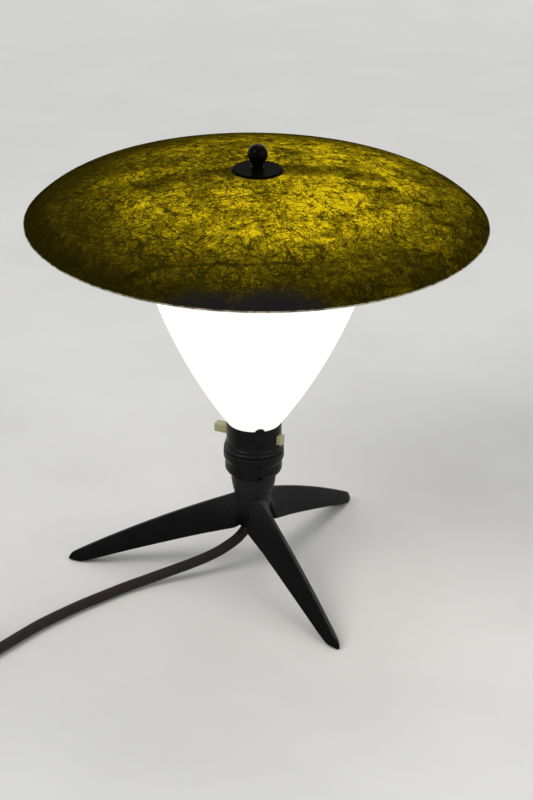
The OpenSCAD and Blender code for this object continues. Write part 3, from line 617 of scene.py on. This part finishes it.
def leg_section(s):
    """Half a leg's section at s from the axis: flat underside, slightly full side, rounded ridge."""
    along = (s - LEG_ROOT) / (LEG_REACH - LEG_ROOT)
    along_foot = (s - LEG_ROOT) / (FOOT_S - LEG_ROOT)
    ridge = LEG_RIDGE_Z + (LEG_TIP_H - LEG_RIDGE_Z) * along + 4 * LEG_BOW * along * (1 - along)
    under = LEG_UNDER_Z * (1 - along_foot) + 4 * LEG_ARCH * along_foot * (1 - along_foot)
    lo = max(0.0, (under + sqrt(under * under + FOOT_EASE)) / 2 - FOOT_SINK)
    narrow, nose = (sqrt(1 - max(0.0, (s - LEG_TIP + n) / n) ** 2) for n in (LEG_TIP - FOOT_S, NOSE_LEN))
    hi = ridge * nose
    height = hi - lo
    flare = max(0.0, ROOT_FLARE - abs(s - LEG_ROOT) / ROOT_FLARE_RUN)
    half_w = narrow * (LEG_SPREAD * (ridge - lo) + LEG_LEAST_W + flare)
    half_w *= 1 - ROOT_PINCH * ease(*PINCH_S, s)
    corner_r = min(FOOT_CORNER, 0.3 * half_w, 0.3 * height)
    crown_w = min(RIDGE_HALF, 0.35 * half_w) + ROOT_CROWN * ease(*CROWN_S, s)
    drop = min(RIDGE_DROP, 0.25 * height)
    foot = np.array((half_w, lo + corner_r))
    head = np.array((crown_w, hi - drop))
    middle = np.array((SIDE_FULLNESS * (half_w + crown_w), lo + 0.5 * height))
    pull = 2 * middle - (foot + head) / 2
    corner = [(half_w - corner_r + corner_r * sin(a), lo + corner_r - corner_r * cos(a))
              for a in np.radians((0, 25, 50, 75))]
    side = [tuple((1 - t) ** 2 * foot + 2 * t * (1 - t) * pull + t * t * head) for t in np.linspace(0, 1, 9)]
    crown = [(crown_w * (1 - t * t), hi - drop * (1 - t) ** 2) for t in (0.2, 0.4, 0.6, 0.8)]
    return [(0, lo), (0.5 * half_w, lo)] + corner + side + crown + [(0, hi)]


def leg(angle):
    """Closed body of one leg."""
    c, sn = cos(radians(angle)), sin(radians(angle))
    points = []
    for s in LEG_STEPS:
        half = leg_section(s)
        ring = half + [(-y, z) for y, z in half[-2:0:-1]]
        points += [(c * s - sn * y, sn * s + c * y, z) for y, z in ring]
    return points, ring_faces(len(LEG_STEPS), len(ring))


def hub():
    """Closed body of column and cup."""
    return turned(
        bow((COLUMN_R - COLUMN_ROUND, COLUMN_Z), (COLUMN_R - 0.4, COLUMN_Z + COLUMN_ROUND), 0.55, 4)
        + [(COLUMN_R, CUP_Z - 0.3), (COLUMN_R, CUP_Z), (HUB_WAIST_R - 0.5, CUP_Z + 0.1)]
        + bow((HUB_WAIST_R, CUP_Z + 0.7), (HUB_TOP_R, HUB_TOP_Z - HUB_EDGE), 0.5, 8)
        + [(HUB_TOP_R - HUB_EDGE, HUB_TOP_Z)])


def add_bore():
    """Body that cuts the way for bush, cord and nipple, past the faces above and below."""
    points, faces = turned([
        (BORE_MOUTH_R, COLUMN_Z - 1), (BORE_THROAT_R, BUSH_Z), (BUSH_R, BUSH_Z + BORE_STEP),
        (BUSH_R, CORD_TOP_Z), (NIPPLE_R, CORD_TOP_Z + BORE_STEP), (NIPPLE_R, HUB_TOP_Z + 2.5)])
    return add_mesh("base_bore", np.array(points) / PER_METRE, faces, MATERIALS["tripod_moulding"])


def add_base():
    """The whole moulding as one skin: legs and hub joined, with small fillets where they meet."""
    verts, faces = [], []
    for points, polygons in [hub()] + [leg(LEG_DIR + 120 * i) for i in range(3)]:
        faces += [tuple(len(verts) + i for i in f) for f in polygons]
        verts += points
    raw = add_mesh("base_raw", np.array(verts) / PER_METRE, faces, MATERIALS["tripod_moulding"])
    skin = raw.modifiers.new("skin", "REMESH")
    skin.mode, skin.voxel_size, skin.use_smooth_shade = "VOXEL", SKIN_VOXEL, True
    fair = raw.modifiers.new("fair", "SMOOTH")
    fair.factor, fair.iterations = 0.5, SKIN_FAIR
    raw.modifiers.new("lighter", "DECIMATE").ratio = SKIN_KEPT
    bore = add_bore()
    cut = raw.modifiers.new("bore", "BOOLEAN")
    cut.operation, cut.solver, cut.object = "DIFFERENCE", "EXACT", bore
    mesh = bpy.data.meshes.new_from_object(raw.evaluated_get(bpy.context.evaluated_depsgraph_get()))
    mesh.name = "tripod"
    for v in mesh.vertices:
        v.co.z = max(v.co.z, 0.0)
    bpy.data.objects.remove(raw)
    bpy.data.objects.remove(bore)
    base = bpy.data.objects.new("tripod", mesh)
    scene.collection.objects.link(base)
    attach(base, "base")
    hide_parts("tripod_base")


add_base()


# Floor and light in metres and watts
PALE = (0.86, 0.86, 0.85)
FLOOR_HALF, FLOOR_DROP = 6, 0.0005
FLOOR_FADE = (0.8, 2.6)  # from the axis, between floor and backdrop
LAMPS = [("key", 1.6, 34, (-1.5, -1.2, 2.1)), ("fill", 2.0, 16, (1.9, -1.1, 1.3)),
         ("back", 1.6, 14, (0.5, 1.3, 2.4))]
AIM = (0, 0, 0.15)
SKY, SKY_STRENGTH = (0.95, 0.97, 1.0), 0.45


def add_seen(tree):
    """1 for rays from the camera, also by way of a mirror or through glass, so a backdrop adds no light."""
    path = tree.nodes.new("ShaderNodeLightPath")
    seen = path.outputs["Is Camera Ray"]
    for name in ("Is Glossy Ray", "Is Transmission Ray"):
        most = tree.nodes.new("ShaderNodeMath")
        most.operation = "MAXIMUM"
        tree.links.new(seen, most.inputs[0])
        tree.links.new(path.outputs[name], most.inputs[1])
        seen = most.outputs[0]
    return seen


def add_stage():
    """Pale floor that fades into the backdrop far from the lamp."""
    look = Look("floor", Roughness=0.75, Specular_IOR_Level=0.0, Emission_Color=PALE)
    far = look.span(look.radius(), *FLOOR_FADE)
    near = look.mix(look.span(look.noise(9, 3), 0.3, 0.7), (0.72, 0.71, 0.68), (0.75, 0.74, 0.71))
    look.set("Base Color", look.mix(far, near, (0, 0, 0)))
    look.set("Emission Strength", look.times(far, add_seen(look.tree)))
    corners = [(x * FLOOR_HALF, y * FLOOR_HALF, 0) for x, y in ((-1, -1), (1, -1), (1, 1), (-1, 1))]
    floor = add_mesh("floor", corners, [(0, 1, 2, 3)], look.mat)
    floor.location.z = -FLOOR_DROP


def add_lamp(name, size, power, place):
    """Round area light aimed at the lamp."""
    data = bpy.data.lights.new(name, "AREA")
    data.shape, data.size, data.energy = "DISK", size, power
    lamp = bpy.data.objects.new(name, data)
    lamp.location = place
    lamp.rotation_mode = "QUATERNION"
    lamp.rotation_quaternion = (Vector(AIM) - Vector(place)).to_track_quat("-Z", "Y")
    scene.collection.objects.link(lamp)


def add_world():
    """Soft light from all round, with the pale backdrop for what the camera sees."""
    world = bpy.data.worlds.new("studio")
    scene.world = world
    world.use_nodes = True
    tree = world.node_tree
    glow = tree.nodes["Background"]
    glow.inputs[0].default_value = (*SKY, 1)
    glow.inputs[1].default_value = SKY_STRENGTH
    pale = tree.nodes.new("ShaderNodeBackground")
    pale.inputs[0].default_value = (*PALE, 1)
    pick = tree.nodes.new("ShaderNodeMixShader")
    tree.links.new(add_seen(tree), pick.inputs[0])
    tree.links.new(glow.outputs[0], pick.inputs[1])
    tree.links.new(pale.outputs[0], pick.inputs[2])
    tree.links.new(pick.outputs[0], tree.nodes["World Output"].inputs[0])


add_stage()
for row in LAMPS:
    add_lamp(*row)
add_world()
